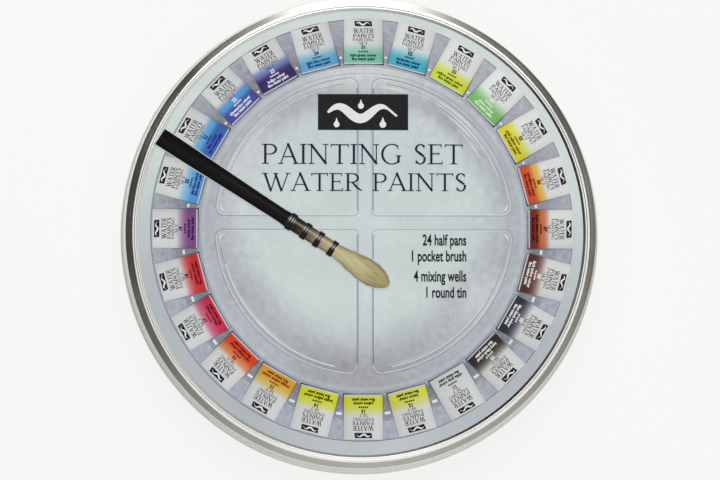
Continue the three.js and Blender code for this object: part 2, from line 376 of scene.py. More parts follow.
def build_lid():
    """Flat panel, groove, bead, rounded crown, a sloping band and a skirt with a rolled hem."""
    inner, edge = LID_RADIUS - SHEET, PRINT_RADIUS
    crown, skirt_top = edge + 2.2, LID_TOP - 2.2
    bead, bead_round, groove = PANEL_TOP + 0.15, 0.15, PANEL_TOP - 0.15
    outside = [(0, PANEL_TOP), (edge * 0.5, PANEL_TOP), (edge - 0.05, PANEL_TOP),
               (edge + 0.08, groove), (edge + 0.85, groove)]
    outside += sweep((edge + 1.08, bead), bead_round, 180, 90, 4)
    outside += sweep((edge + 1.5, bead), bead_round, 90, 20, 4)
    outside += [(edge + 1.72, PANEL_TOP + 0.12)]
    outside += sweep((crown - 0.3, LID_TOP - bead_round), bead_round, 160, 90, 4)
    outside += sweep((crown, LID_TOP - CROWN_ROUND), CROWN_ROUND, 90, 51, 10)
    outside += [(LID_RADIUS - 0.42, skirt_top + 0.33)]
    outside += sweep((LID_RADIUS - 0.3, skirt_top - 0.05), 0.3, 54, 0, 5)
    outside += [(LID_RADIUS, SKIRT_FOOT + 4), (LID_RADIUS, SKIRT_FOOT + 1.5)]
    outside += sweep((LID_RADIUS - 0.12, SKIRT_FOOT + 0.67), 0.67, 60, -90, 10)
    inside = [(inner + 0.05, SKIRT_FOOT + 0.1), (inner, SKIRT_FOOT + 0.5),
              (inner, skirt_top - 0.4), (inner - 0.12, skirt_top - 0.22),
              (crown + 0.4, LID_TOP - 0.7), (crown - 0.2, PANEL_TOP - SHEET),
              (edge * 0.5, PANEL_TOP - SHEET), (0, PANEL_TOP - SHEET)]
    vertices, faces = lathe((outside + inside)[::-1], TIN_SEGMENTS)
    inner_faces = (len(inside) - 1) * TIN_SEGMENTS
    lid = make_object("lid_shell", vertices, faces, [TIN, TIN_INSIDE], "lid", "printed_tinplate",
                      smooth=28, indices=[int(n < inner_faces) for n in range(len(faces))])
    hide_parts("tin_lid")


def build_base():
    """Base with an expansion ring, a rolled seam at the foot and a curled mouth."""
    seam, ring, wall, inner = 1.3, 52.5, WALL_RADIUS, WALL_RADIUS - SHEET

    def expansion_ring(low, middle, high):
        return [(ring - 3, low), (ring - 1.6, middle), (ring, high), (ring + 1.6, middle),
                (ring + 3, low)]

    profile = [(0, 0)] + expansion_ring(0, 0.5, 0.75) + [(SEAM_RADIUS - 8, 0)]
    profile += sweep((SEAM_RADIUS - seam, seam), seam, -90, 90, 14)
    profile += [(wall + 0.5, 2 * seam), (wall + 0.1, 2 * seam + 0.25), (wall, 2 * seam + 0.8),
                (wall, SKIRT_FOOT - 1.6), (wall, WALL_TOP - 0.5)]
    profile += sweep((wall - 0.45, WALL_TOP - 0.45), 0.45, 0, 180, 10)
    profile += [(inner - 0.35, WALL_TOP - 1.0), (inner, WALL_TOP - 1.4), (inner, SHEET + 1.0)]
    profile += sweep((inner - 0.8, SHEET + 0.8), 0.8, 0, -90, 6)
    profile += expansion_ring(SHEET, SHEET + 0.5, SHEET + 0.72)[::-1] + [(0, SHEET)]
    base = make_object("base_shell", *lathe(profile, TIN_SEGMENTS), TIN_BASE, "base", "tinplate",
                       smooth=28)
    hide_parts("tin_base")


build_lid()
build_base()

# ---- lettering ----

STEM = 0.105
HAIRLINE = 0.05
SERIF = 0.045


def stroke(points, widths):
    """A flat stroke through the points, with its width at each one."""
    vertices, faces = [], []
    last = len(points) - 1
    for i, (x, y) in enumerate(points):
        ax, ay = points[max(i - 1, 0)]
        bx, by = points[min(i + 1, last)]
        length = hypot(bx - ax, by - ay) or 1.0
        nx, ny = -(by - ay) / length, (bx - ax) / length
        half = (widths[i] if isinstance(widths, (list, tuple)) else widths) / 2
        vertices += [(x - nx * half, y - ny * half, 0), (x + nx * half, y + ny * half, 0)]
        if i:
            k = 2 * i
            faces.append([k - 2, k, k + 1, k - 1])
    return vertices, faces


def curve(start, end, cx, cy, rx, ry, steps=14, thin=HAIRLINE):
    """A bowed stroke round a centre, thick at its sides and thin at its top and bottom."""
    turns = sweep((0, 0), 1.0, start, end, steps)
    return stroke([(cx + rx * x, cy + ry * y) for x, y in turns],
                  [thin + (STEM - thin) * abs(x) ** 1.3 for x, y in turns])


# parts of letters: a straight stroke, a serif, a stem with its serifs and a serif's beak
def bar(x0, y0, x1, y1, width=HAIRLINE):
    return stroke([(x0, y0), (x1, y1)], width)


def foot(x, y, half=0.15):
    return bar(x - half, y, x + half, y, SERIF)


def upright(x):
    return [bar(x, 0, x, 1.0, STEM), foot(x, 0.02), foot(x, 0.98)]


def tick(x, y, rise):
    return bar(x, y, x, y + rise, [HAIRLINE, 0.03])


BOWL = upright(0.16) + [bar(0.16, 0.975, 0.40, 0.975), curve(90, -90, 0.38, 0.735, 0.26, 0.24),
                        bar(0.40, 0.495, 0.16, 0.495)]
LEG = stroke([(0.36, 0.50), (0.62, 0.16), (0.84, 0.01)], [STEM * 0.8, STEM, 0.05])
# strokes and advance of each roman capital, one unit high
CAPITALS = {
    " ": ([], 0.42),
    "I": (upright(0.17), 0.34),
    "P": (BOWL, 0.70),
    "R": (BOWL + [LEG], 0.84),
    "T": ([bar(0.43, 0, 0.43, 1, STEM), foot(0.43, 0.02), bar(0.03, 0.97, 0.83, 0.97),
           tick(0.045, 1.0, -0.16), tick(0.815, 1.0, -0.16)], 0.86),
    "E": (upright(0.16) + [bar(0.16, 0.975, 0.62, 0.975), bar(0.16, 0.53, 0.52, 0.53),
                           bar(0.16, 0.025, 0.66, 0.025), tick(0.60, 1.0, -0.15),
                           tick(0.50, 0.46, 0.14), tick(0.645, 0.0, 0.18)], 0.70),
    "A": ([bar(0.10, 0.0, 0.45, 1.0), bar(0.43, 1.04, 0.82, 0, STEM), bar(0.22, 0.36, 0.68, 0.36),
           foot(0.11, 0.02, 0.12), foot(0.81, 0.02)], 0.92),
    "N": ([bar(0.16, 0, 0.16, 1), bar(0.13, 1, 0.82, 0, STEM), bar(0.80, 0, 0.80, 1),
           foot(0.16, 0.02, 0.13), foot(0.10, 0.98, 0.11), foot(0.80, 0.98, 0.13)], 0.96),
    "W": ([bar(0.12, 1, 0.42, -0.03, STEM), bar(0.42, 0, 0.68, 1), bar(0.62, 1, 0.93, -0.03, STEM),
           bar(0.93, 0, 1.24, 1), foot(0.12, 0.98), foot(0.65, 0.98, 0.13),
           foot(1.24, 0.98, 0.12)], 1.34),
    "S": ([curve(35, 200, 0.31, 0.75, 0.20, 0.24, thin=0.055),
           stroke([(0.125, 0.68), (0.30, 0.53), (0.47, 0.38)], [0.09, 0.12, 0.09]),
           curve(20, -150, 0.30, 0.27, 0.20, 0.26, thin=0.055), tick(0.475, 0.80, 0.17),
           tick(0.115, 0.04, 0.18)], 0.60),
    "G": ([curve(52, 308, 0.50, 0.5, 0.43, 0.5, steps=26), bar(0.80, 0.07, 0.80, 0.42, STEM),
           foot(0.80, 0.42, 0.13), tick(0.775, 0.76, 0.18)], 0.98),
}
LETTER_GAP = 0.04
FONT_CAPITAL = 0.73       # height of a capital in Blender's own font


def shift(shape, x, y, z=0.0):
    vertices, faces = shape
    return [(vx + x, vy + y, vz + z) for vx, vy, vz in vertices], faces


def serif_line(text, width, height, weight=0.0):
    """One line of roman capitals, centred on x = 0 with its baseline at y = 0.

    A weight makes small lettering bolder, by drawing it again a little to the side.
    """
    shapes, pen = [], 0.0
    for letter in text:
        strokes, advance = CAPITALS[letter]
        if weight:
            strokes = strokes + [shift(shape, weight, 0) for shape in strokes]
        shapes += [shift(shape, pen, 0) for shape in strokes]
        pen += advance + LETTER_GAP
    pen -= LETTER_GAP
    vertices, faces = join(shapes)
    return [((x / pen - 0.5) * width, y * height, z) for x, y, z in vertices], faces


def plain_text(text, height, squeeze, bold, centred, detail):
    """Lettering in Blender's own font, centred on x = 0 or ending there.

    height is that of its capitals.
    """
    letters = bpy.data.curves.new("text", "FONT")
    letters.body = text
    letters.size = 1.0
    letters.offset = bold
    letters.resolution_u = detail
    letters.fill_mode = "FRONT"
    holder = place_object("text", letters)
    bpy.context.view_layer.update()
    mesh = bpy.data.meshes.new_from_object(
        holder.evaluated_get(bpy.context.evaluated_depsgraph_get()))
    points = [tuple(v.co) for v in mesh.vertices]
    faces = [list(polygon.vertices) for polygon in mesh.polygons]
    bpy.data.objects.remove(holder)
    bpy.data.curves.remove(letters)
    bpy.data.meshes.remove(mesh)
    scale = height / FONT_CAPITAL
    right = max(point[0] for point in points)
    start = (min(point[0] for point in points) + right) / 2 if centred else right
    return [((x - start) * scale * squeeze, y * scale, 0) for x, y, z in points], faces


def flat(outline):
    """One flat face over an outline, split into triangles where it isn't convex."""
    points = [Vector((x, y, 0)) for x, y in outline]
    faces = []
    for a, b, c in tessellate_polygon([points]):
        upward = (points[b] - points[a]).cross(points[c] - points[a]).z > 0
        faces.append([a, b, c] if upward else [a, c, b])
    return [tuple(p) for p in points], faces


def brush_mark(length, height):
    """A wavy painted mark on the plaques."""
    steps = [i / 40 for i in range(41)]
    return stroke([((t - 0.5) * length, sin(t * 3.2 * pi) * height * 0.28) for t in steps],
                  [height * (0.10 + 0.34 * sin(pi * min(t * 1.15, 1.0)) ** 0.8) for t in steps])


def drop(x, y, radius):
    """A paint drop with its point upward."""
    return flat(sweep((x, y), radius, -240, 60, 19) + [(x, y + radius * 2.3)])


# ---- wrapper art ----

PAINT_NAMES = ["mint green", "turquoise", "yellow green", "green", "gold yellow", "vermilion",
               "burnt sienna", "dark umber", "blue black", "ivory black", "white grey", "lemon",
               "yellow", "bright yellow", "orange yellow", "red orange", "crimson", "carmine",
               "violet", "sky blue", "blue", "ultramarine", "indigo", "light blue"]
LABEL_COLOURS = [srgb(*c) for c in (
    (122, 184, 166), (74, 166, 188), (202, 214, 62), (118, 184, 100), (212, 206, 50),
    (200, 80, 40), (112, 38, 30), (84, 46, 40), (46, 47, 56), (44, 40, 38), (199, 202, 202),
    (202, 207, 72), (203, 207, 58), (203, 208, 40), (205, 152, 44), (208, 62, 32), (192, 44, 72),
    (194, 46, 50), (120, 74, 128), (80, 144, 204), (58, 98, 174), (72, 74, 152), (56, 38, 100),
    (94, 160, 198))]
NAME_COLOURS = [srgb(*c) for c in (
    (30, 76, 66), (12, 54, 88), (84, 92, 16), (222, 232, 218), (96, 70, 14), (118, 26, 14),
    (56, 10, 8), (226, 222, 218), (226, 226, 228), (226, 224, 220), (52, 52, 56), (52, 44, 14),
    (60, 40, 12), (48, 42, 10), (136, 40, 12), (108, 20, 12), (104, 12, 26), (106, 18, 14),
    (52, 20, 76), (20, 48, 128), (24, 40, 134), (214, 224, 238), (220, 222, 236),
    (18, 66, 120))]
# a second colour that some wrappers pass through: colour, depth and strength
LABEL_ACCENTS = {5: ((214, 178, 66), 0.64, 0.8), 6: ((206, 118, 54), 0.69, 0.7),
                 14: ((206, 182, 84), 0.64, 0.5), 15: ((212, 130, 70), 0.66, 0.5),
                 16: ((196, 96, 128), 0.68, 0.5), 19: ((112, 186, 224), 0.64, 0.5),
                 20: ((84, 172, 222), 0.60, 0.85), 21: ((70, 156, 214), 0.61, 0.9),
                 22: ((96, 134, 192), 0.55, 0.7)}
ACCENT_WIDTH = 0.085
# the colour starts at this depth and is full a little further in
FADE_START, EARLY_FADE_START, FADE_LENGTH = 0.49, 0.42, 0.36
EARLY_FADES = (20, 21, 22)
PAPER_WHITE = srgb(206, 209, 209)


def label_tone(index, depth, across):
    """Colour of a wrapper at a depth from its outer end (0) to its inner end (1)."""
    start = EARLY_FADE_START if index in EARLY_FADES else FADE_START
    t = smoothstep(start, start + FADE_LENGTH, depth)
    tone = tuple(a ** (1 - t) * b ** t for a, b in zip(PAPER_WHITE, LABEL_COLOURS[index]))
    if index in LABEL_ACCENTS:
        colour, at, strength = LABEL_ACCENTS[index]
        tone = mix(tone, srgb(*colour), strength * bell(depth - at, ACCENT_WIDTH))
    # darker towards both long edges and towards the +x side: on the lid's picture this is part of
    # the print, on the real paper sleeves it is painted shade
    shade = 1 - 0.10 * smoothstep(0.75, 1.0, abs(across)) - 0.05 * across
    return scaled(tone, shade)


def label_art(index, length):
    """Printing on one wrapper, as shapes by ink; down counts from the wrapper's outer end."""
    def at(down, shape, x=0.0, z=0.0):
        return shift(shape, x, length / 2 - down, z)

    plaque = [(x - 0.15 * y, y) for x, y in rectangle(-3.6, -1.1, 3.6, 1.1)]
    pip = flat(rounded(-0.32, -0.36, 0.32, 0.36, 0.2, 2))
    return {
        "dark": [at(1.75, flat(plaque)), at(5.8, serif_line("WATER", 8.6, 2.05, 0.07)),
                 at(7.65, serif_line("PAINTS", 8.8, 1.5, 0.08))],
        "grey": [at(9.1, serif_line("PAINTING", 8.8, 1.15, 0.10)),
                 at(10.55, serif_line("SET", 3.7, 1.1, 0.10))],
        "white": [at(1.75, brush_mark(5.8, 1.65), z=0.02)],
        "name": [at(12.45, plain_text(f"{index + 1:02d}", 1.6, 0.9, 0.05, True, 2)),
                 *(at(13.5, pip, (k - 2) * 0.85) for k in range(5)),
                 *(at(down, plain_text(text, 1.28, 0.86, 0.05, True, 1)) for text, down in (
                     (PAINT_NAMES[index] + " colour", 15.6), ("fine water paint", 17.15)))],
    }


# ---- the lid's picture ----

LAYER = 0.03
PICTURE_SCALE = 0.994
WELL_CENTRE = (1.1, 2.6)
CROSS_CENTRE = (1.6, 4.0)
WELL_EDGE = 62.5
CROSS_HALF = 2.85
RING_CENTRE = (0.8, 1.4)
RING_INNER = 68.6
BORDER_CENTRE = (0.3, 1.1)
BORDER_EDGE = 88.2
PICTURE_PAN_LENGTH = 18.7
PICTURE_PAN_WIDTH = 16.2
PICTURE_RING = 78.65


def picture_piece(name, shape, material, level, tone=None):
    """A layer of the picture; tone gives its colour at a point, or a colour for each vertex."""
    raised = PANEL_TOP + LAYER * level
    vertices = [(x * PICTURE_SCALE, y * PICTURE_SCALE, z + raised) for x, y, z in shape[0]]
    piece = make_object(name, vertices, shape[1], material, "lid", "printed_tinplate")
    if callable(tone):
        paint(piece, lambda v: tone(v.x / PICTURE_SCALE, v.y / PICTURE_SCALE))
    elif tone:
        tint_vertices(piece, tone)


def soft_min(values, k):
    """A smallest value whose corners are rounded off."""
    return -k * log(sum(exp(-v / k) for v in values))


def toward(angle, centre, spread):
    """1 where a direction in degrees is the centre's, falling to 0 beyond the spread."""
    return bell((angle - centre + 180) % 360 - 180, spread)


def ripple(x, y, z):
    return noise.noise(Vector((x, y, z)))


def layered(tone, *layers):
    """A tone with others laid over it, each as (colour, strength)."""
    for colour, strength in layers:
        tone = mix(tone, colour, strength)
    return tone


# streaks of light on the wells' walls: distance from the wells' centre, thickness, direction,
# spread in degrees and strength
WELL_SHINES = ((61.0, 0.45, 50, 15, 0.9), (59.6, 0.35, 44, 12, 0.8), (58.2, 0.45, 47, 9, 0.75),
               (56.6, 0.35, 38, 8, 0.6), (60.2, 0.4, 66, 8, 0.7), (58.9, 0.5, 76, 7, 0.6),
               (60.6, 0.4, 128, 14, 0.55), (58.6, 0.35, 136, 12, 0.5), (60.9, 0.45, 104, 9, 0.5),
               (59.2, 0.4, 222, 18, 0.5), (59.0, 0.35, 292, 10, 0.4))


def well_depth(x, y):
    """How far inside a well's outline a point lies."""
    return soft_min([abs(x - CROSS_CENTRE[0]) - CROSS_HALF, abs(y - CROSS_CENTRE[1]) - CROSS_HALF,
                     WELL_EDGE - dist((x, y), WELL_CENTRE)], 0.9)


def picture_tone(x, y):
    """Colour of the printed tray at a point of the lid."""
    angle = degrees(atan2(y, x))
    grain = ripple(x * 0.06, y * 0.06, 3.0)
    if dist((x, y), BORDER_CENTRE) > BORDER_EDGE:
        t = smoothstep(-0.5, 0.45, sin(radians(angle)) + 0.12 * x / 93)
        return srgb(*layered((180, 187, 193), ((208, 219, 216), t),
                             ((196, 202, 205), 0.8 * toward(angle, 275, 22))))
    ring = dist((x, y), RING_CENTRE)
    if ring > RING_INNER:
        ribs = ripple(x * 0.5, y * 0.5, 9.0) + 0.7 * ripple(x * 1.3, y * 1.3, 6.0)
        low = smoothstep(0.1, -0.5, sin(radians(angle)))
        tone = layered((124, 126, 137), ((160, 163, 173), smoothstep(70, 86, ring)),
                       ((168, 174, 186), low * smoothstep(80.4, 81.2, ring)),
                       ((176, 180, 188), 0.8 * toward(angle, 52, 34)))
        tone = tuple(c + 16 * ribs for c in tone)
        return srgb(*mix(tone, (196, 202, 206), 0.6 * bell(ring - 69.4, 0.8)))
    reach = hypot(x, y)
    low, high = smoothstep(10, -35, y), smoothstep(-5, 20, y)
    tone = layered(
        (203, 214, 213), ((196, 204, 209), smoothstep(5, 50, y) * 0.7),
        ((177, 181, 187), smoothstep(44 + 5 * high, 64 + high, reach + 9 * low)),
        ((171, 176, 181), smoothstep(60, 65, reach)),
        ((213, 217, 211), smoothstep(57, 66, reach) * toward(angle, 88, 30)),
        ((154, 153, 156), 0.9 * smoothstep(46, 60, reach) * toward(angle, 268, 24)),
        ((186, 192, 194), 0.5 * smoothstep(60, 66, reach) * toward(angle, 212, 24)),
        ((200, 205, 209), 0.4 * bell(ring - 66.9, 0.8)))
    if well_depth(x, y) > 0:
        near = smoothstep(44 + 8 * high, 59 + 3 * high, reach)
        for centre, width, amount in ((52, 20, 0.9), (118, 18, 0.55), (245, 16, 0.5)):
            tone = mix(tone, (166, 167, 173), amount * near * toward(angle, centre, width))
        near = smoothstep(46, 54, reach)
        for centre, width, amount in ((150, 15, 0.8), (331, 13, 0.75)):
            tone = mix(tone, (204, 209, 211), amount * near * toward(angle, centre, width))
        rim = dist((x, y), WELL_CENTRE)
        for at, thick, centre, spread, amount in WELL_SHINES:
            shine = amount * bell(rim - at, thick) * toward(angle, centre, spread)
            tone = mix(tone, (236, 239, 237), shine)
    else:
        tone = mix(tone, (186, 191, 203), 0.35 * smoothstep(14, 50, reach))
    mottle = ripple(x * 0.35, y * 0.35, 1.0) + 0.6 * ripple(x * 0.9, y * 0.9, 4.0)
    strength = 3 + 6 * smoothstep(34, 56, reach)
    return srgb(*(c + 5 * grain + strength * mottle for c in tone))


def picture_grid():
    """Fine polar mesh that carries the picture's soft tones."""
    rings, spokes = 230, 600
    radius = (PRINT_RADIUS - 0.04) / PICTURE_SCALE
    sheet = disc([radius * i / rings for i in range(1, rings + 1)], spokes, lambda x, y: 0.0)
    picture_piece("lid_picture", sheet, PRINT, 1, picture_tone)


def well_outline(side_x, side_y, inset, inner=2.2, outer=3.6):
    """Rounded outline of one of the four wells, inset from its edge."""
    cx, cy = CROSS_CENTRE
    ox, oy = (WELL_CENTRE[0] - cx) * side_x, (WELL_CENTRE[1] - cy) * side_y
    near, radius = CROSS_HALF + inset, WELL_EDGE - inset
    corner, reach = near + outer, radius - outer
    x1 = ox + sqrt(max(reach ** 2 - (corner - oy) ** 2, 0))
    y1 = oy + sqrt(max(reach ** 2 - (corner - ox) ** 2, 0))
    first, last = degrees(atan2(corner - oy, x1 - ox)), degrees(atan2(y1 - oy, corner - ox))
    points = sweep((near + inner, near + inner), inner, 180, 270, 8)
    points += sweep((x1, corner), outer, -90, first, 8)
    points += sweep((ox, oy), radius, first, last, 48)[1:-1]
    points += sweep((corner, y1), outer, last, 180, 8)
    return [(cx + side_x * x, cy + side_y * y) for x, y in points + points[:1]]


def well_arc(side, inset, start=0, end=1):
    """Part of a well's outer edge; start and end go from its X end (0) to its Y end (1)."""
    edge = well_outline(*side, inset)[18:66]
    return edge[round(start * 47):round(end * 47) + 1]


def picture_lines():
    """Moulded edges of the printed tray."""
    shapes, lights = [], []
    for side in ((-1, -1), (-1, 1), (1, -1), (1, 1)):
        shapes += [stroke(well_outline(*side, 0.0), 0.36), stroke(well_arc(side, 2.1), 0.3)]
        edge, glint = well_outline(*side, 0.5), well_outline(*side, 1.7, 1.8, 3.0)
        lights += [stroke(edge[:9], 0.3), stroke(edge[8:19], 0.34 if side[1] > 0 else 0.24),
                   stroke(edge[-2:] + edge[:2], 0.22), stroke(edge[-10:], 0.26),
                   stroke(glint[10:18], [0.1, 0.3, 0.6, 0.9, 0.9, 0.6, 0.3, 0.1]),
                   stroke(well_arc(side, 0.6), 0.3)]
    for side, start, end, width in (((-1, -1), 0.08, 0.95, 0.55), ((1, -1), 0.3, 0.98, 0.4),
                                    ((-1, 1), 0.1, 0.9, 0.3), ((1, 1), 0.1, 0.7, 0.34)):
        lights.append(stroke(well_arc(side, 2.6, start, end), width))
    shapes += [stroke(sweep(BORDER_CENTRE, BORDER_EDGE + 0.1, 0, 360, 360), 0.42),
               stroke(sweep(RING_CENTRE, 68.3, 0, 360, 360), 0.3),
               stroke(sweep(RING_CENTRE, 65.4, 20, 160, 140), 0.2)]

    def dark(x, y):
        if dist((x, y), BORDER_CENTRE) > 85:
            return srgb(130, 136, 140)
        under = mix((166, 176, 192), (146, 153, 168), smoothstep(30, 62, hypot(x, y)))
        sway = 0.5 + 0.5 * sin(atan2(y, x) * 3 + 1.0)
        return srgb(*mix(under, (184, 192, 204), 0.4 * sway))

    def light(x, y):
        return srgb(*mix((218, 227, 227), (214, 221, 223), smoothstep(10, 60, hypot(x, y))))

    picture_piece("lid_picture_lines", join(shapes), PRINT, 2, dark)
    picture_piece("lid_picture_lights", join(lights), PRINT, 2.5, light)


def pan_place(index):
    angle = pan_angle(index)
    return angle - pi / 2, polar(PICTURE_RING, angle, RING_CENTRE)


def grid(x0, y0, x1, y1, columns, rows):
    """A flat rectangle of small faces."""
    vertices = [(x0 + (x1 - x0) * i / columns, y0 + (y1 - y0) * j / rows, 0.0)
                for j in range(rows + 1) for i in range(columns + 1)]
    starts = [j * (columns + 1) + i for j in range(rows) for i in range(columns)]
    return vertices, [[k, k + 1, k + columns + 2, k + columns + 1] for k in starts]


def pan_edges(half_w, half_l):
    """Shadow lines round a printed pan, heavier towards its inner end."""
    lines = [stroke([(x, top - i * length / 12) for i in range(13)],
                    [width + growth * i for i in range(13)])
             for x, top, length, width, growth in (
                 (half_w + 0.1, half_l - 0.5, 2 * half_l, 0.18, 0.05),
                 (-half_w - 0.05, half_l - 3, 2 * half_l - 3, 0.12, 0.03))]
    end = [(-half_w + (2 * half_w + 0.6) * i / 6 - 0.2, -half_l - 0.3) for i in range(7)]
    return lines + [stroke(end, [0.2, 0.3, 0.25, 0.3, 0.25, 0.4, 0.6])]


def groove_painted_shade():
    """Painted shade and reflection in the groove round the print: a dark ring, darkest on the
    right and lower right.
    """
    edge = sweep((0, 0), (PRINT_RADIUS + 0.46) / PICTURE_SCALE, 0, 360, 360)

    def tone(x, y):
        angle = degrees(atan2(y, x))
        # painted shade: the ring is darkest towards the right and lower right, less dark towards
        # the bottom, and pale elsewhere
        dark = toward(angle, 22, 44) + 0.9 * toward(angle, 308, 26)
        dark += 0.35 * toward(angle, 255, 30)
        return srgb(*mix((206, 210, 205), (26, 28, 25), min(dark, 1.0)))

    picture_piece("lid_groove_painted_shade", stroke(edge, 0.74), PRINT, -4, tone)


def picture_pans():
    """The ring of printed pans with their wrappers."""
    half_w, half_l = PICTURE_PAN_WIDTH / 2, PICTURE_PAN_LENGTH / 2
    parts = {kind: [] for kind in ("paper", "shadow", "dark", "grey", "white", "name")}
    tones, name_tones = [], []
    for index in range(PAN_COUNT):
        lit = 1 + 0.17 * toward(90 - 15 * index, 42, 40)
        leaf = grid(-half_w, -half_l, half_w, half_l, 8, 60)
        for x, y, z in leaf[0]:
            depth = (half_l - y) / PICTURE_PAN_LENGTH
            tone = label_tone(index, depth, x / half_w)
            tone = mix(scaled(tone, lit), tone, smoothstep(0.5, 0.8, depth))
            tones.append(srgb(196, 200, 205) if depth > 0.981 else tone)
        shapes = label_art(index, PICTURE_PAN_LENGTH)
        name_tones += [NAME_COLOURS[index]] * len(join(shapes["name"])[0])
        shapes.update(paper=[leaf], shadow=pan_edges(half_w, half_l))
        for kind, found in shapes.items():
            parts[kind] += [moved(shape, *pan_place(index)) for shape in found]
    for name, kind, material, level, tone in (
            ("pans", "paper", PRINT, 4, tones),
            ("shadows", "shadow", PRINT, 3, lambda x, y: srgb(*mix(
                (72, 74, 82), (146, 149, 158), smoothstep(69, 84, dist((x, y), RING_CENTRE))))),
            ("dark", "dark", BLACK_INK, 5, None), ("grey", "grey", GREY_INK, 5, None),
            ("white", "white", WHITE_INK, 5.3, None),
            ("names", "name", PRINT_DEEP, 5.3, name_tones)):
        picture_piece("lid_picture_" + name, join(parts[kind]), material, level, tone)


def picture_gaps():
    """Light marks on the moulding between the printed pans."""
    rng = random.Random(11)
    shapes = []
    for index in range(PAN_COUNT):
        angle = pan_angle(index) - pi / PAN_COUNT
        low = smoothstep(0.35, -0.55, sin(angle))
        pip = 72.6 + 4.9 * low + rng.uniform(-0.4, 0.4)
        wide, tall = 0.62 + 0.6 * low, 0.42 + 0.14 * low
        marks = [flat(rounded(-wide, pip - tall, wide, pip + tall, 0.35, 3))]
        across = 80.4 + 2.4 * (1 - low) + rng.uniform(-0.5, 0.5)
        lean = rng.uniform(-0.5, 0.5)
        marks.append(stroke([(-1.8, across - lean), (0, across + 0.2), (1.8, across + lean)],
                            [0.12, 0.34, 0.12]))
        if rng.random() < 0.6:
            side = rng.choice((-1, 1))
            marks.append(stroke([(side * 2.4, 87.0), (side * 1.5, 84.5), (side * 1.1, 82.0)],
                                [0.1, 0.3, 0.1]))
        marks.append(bar(-2.5, 87.2, 2.5, 87.2, [0.2, 0.3]))
        shapes += [moved(mark, angle - pi / 2, RING_CENTRE) for mark in marks]
    picture_piece("lid_picture_glints", join(shapes), PRINT, 2, lambda x, y: srgb(*mix(
        (222, 228, 232), (178, 184, 192), smoothstep(76, 82, hypot(x, y)))))


# ---- printed brush ----

PICTURE_BRUSH_BUTT = (-84.2, 39.9)
BRUSH_ANGLE = radians(-33)
BRUSH_LENGTH = 114.0
BANDS = (65.5, 72.8, 79.0, 86.0)          # middles of the wire bindings
BAND_HALF = 1.25
HANDLE_END = 63.5
QUILL_END = 87
HAIR_COUNT = 420
BRUSH_WIDTHS = ((0, 3.75), (61, 2.95), (63, 3.1), (64, 3.2), (87, 2.9), (91, 3.3), (96, 4.3),
                (102, 5.1), (106, 5.0), (109, 4.3), (111.5, 3.1), (113.2, 1.8), (114, 0.5))


def brush_half_width(s):
    """Half the brush's width at a distance from its butt."""
    for (a, wa), (b, wb) in zip(BRUSH_WIDTHS, BRUSH_WIDTHS[1:]):
        if s <= b:
            return wa + (wb - wa) * smoothstep(0, 1, (s - a) / (b - a))
    return BRUSH_WIDTHS[-1][1]


def near_band(s):
    """Distance to the nearest wire binding."""
    return min(abs(s - band) for band in BANDS)


def picture_brush_tone(s, across):
    """Colour of the printed brush; across is 1 on its upper edge and -1 on its lower one."""
    if near_band(s) < BAND_HALF:
        wire = cos((s - min(BANDS, key=lambda band: abs(band - s))) * 2 * pi / 1.1)
        lit = max(0.0, cos((across - 0.25) * 2.3)) ** 4
        return srgb(*layered((20, 18, 17), ((74, 66, 56), 0.25 * (1 + wire)),
                             ((236, 234, 226), 0.95 * lit * (0.5 + 0.5 * wire))))
    if s < HANDLE_END:
        shine = bell(across - 0.25, 0.07) * smoothstep(6, 44, s) * 0.2
        shine += bell(across - 0.5, 0.22) * smoothstep(10, 40, s) * 0.05
        return srgb(*layered((16, 15, 15), ((30, 28, 28), 0.7 * bell(across + 0.15, 0.45)),
                             ((176, 172, 170), min(shine, 1))))
    if s < QUILL_END:
        tone = mix((44, 38, 33), (172, 160, 124), smoothstep(66, 84, s))
        tone = scaled(tone, 1 - 0.45 * abs(across) ** 3)
        return srgb(*mix(tone, (226, 220, 200), 0.5 * bell(across - 0.3, 0.16)))
    tip = smoothstep(96, 110, s)
    tone = layered((186, 177, 133), ((166, 153, 110), smoothstep(96, 113, s)),
                   ((206, 198, 160), 0.6 * bell(across - 0.1, 0.35) * (1 - tip)))
    hairs = 16 * ripple(s * 0.10, across * 7.0, 2.0) + 22 * ripple(s * 0.22, across * 19.0, 5.0)
    tone = scaled(tone, 1 - 0.30 * abs(across) ** 4)
    return srgb(*(min(max(c + hairs, 0), 255) for c in tone))


def picture_brush():
    rows, columns = 360, 18
    for name, grow, level in (("lid_picture_brush_edge", 0.35, 7), ("lid_picture_brush", 0.0, 8)):
        vertices, tones = [], []
        for i in range(rows + 1):
            s = BRUSH_LENGTH * i / rows
            half = brush_half_width(s) + grow + (0.55 if near_band(s) < BAND_HALF else 0)
            for j in range(columns + 1):
                across = 2 * j / columns - 1
                x, y = turn((s + (grow if s > 100 else 0), across * half), BRUSH_ANGLE)
                vertices.append((x + PICTURE_BRUSH_BUTT[0], y + PICTURE_BRUSH_BUTT[1], 0.0))
                tones.append(srgb(196, 202, 206) if grow else picture_brush_tone(s, across))
        faces = [[a, d, c, b] for a, b, c, d in grid(0, 0, 1, 1, columns, rows)[1]]
        picture_piece(name, (vertices, faces), PRINT_DEEP, level, tones)


